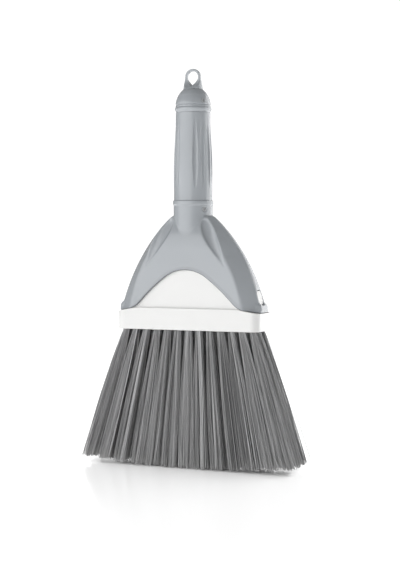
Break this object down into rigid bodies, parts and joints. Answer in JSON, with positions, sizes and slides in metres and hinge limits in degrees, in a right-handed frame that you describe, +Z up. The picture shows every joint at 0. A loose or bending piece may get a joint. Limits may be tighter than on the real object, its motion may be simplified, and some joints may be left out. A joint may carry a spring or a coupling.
{
  "type": "hand broom",
  "caption": "Short-handled hand broom with a flared head of leaning bristle tufts, a snapped-on arched shell, a fluted hollow grip and a hanging eye that turns.",
  "frame": {"origin": "on the floor under the middle of the bristle tips", "axes": "+Z up the handle, X along the head, front face towards -Y"},
  "size_m": [0.2133, 0.0476, 0.3682],
  "materials": {
    "grey_plastic": "gloss",
    "white_plastic": "satin",
    "bristle": "satin",
    "steel": "satin",
    "anchor_wire": "satin"
  },
  "bodies": {
    "broom": {"cap_screws": "steel", "end_cap": "grey_plastic", "grip": "grey_plastic", "head_shell": "grey_plastic", "neck_screws": "steel", "tuft_anchors": "anchor_wire", "tuft_back_01": "bristle", "tuft_back_02": "bristle", "tuft_back_03": "bristle", "tuft_back_04": "bristle", "tuft_back_05": "bristle", "tuft_back_06": "bristle", "tuft_back_07": "bristle", "tuft_back_08": "bristle", "tuft_back_09": "bristle", "tuft_back_10": "bristle", "tuft_back_11": "bristle", "tuft_back_12": "bristle", "tuft_back_13": "bristle", "tuft_block": "white_plastic", "tuft_front_01": "bristle", "tuft_front_02": "bristle", "tuft_front_03": "bristle", "tuft_front_04": "bristle", "tuft_front_05": "bristle", "tuft_front_06": "bristle", "tuft_front_07": "bristle", "tuft_front_08": "bristle", "tuft_front_09": "bristle", "tuft_front_10": "bristle", "tuft_front_11": "bristle", "tuft_front_12": "bristle", "tuft_front_13": "bristle", "tuft_middle_01": "bristle", "tuft_middle_02": "bristle", "tuft_middle_03": "bristle", "tuft_middle_04": "bristle", "tuft_middle_05": "bristle", "tuft_middle_06": "bristle", "tuft_middle_07": "bristle", "tuft_middle_08": "bristle", "tuft_middle_09": "bristle", "tuft_middle_10": "bristle", "tuft_middle_11": "bristle", "tuft_middle_12": "bristle", "tuft_middle_13": "bristle"},
    "eye": {"hanging_eye": "grey_plastic", "eye_washer": "steel"}
  },
  "joints": [
    {"name": "eye_swivel", "type": "hinge", "parent": "broom", "child": "eye", "pos_m": [0, 0, 0.3465], "axis": [0, 0, 1], "continuous": true}
  ]
}
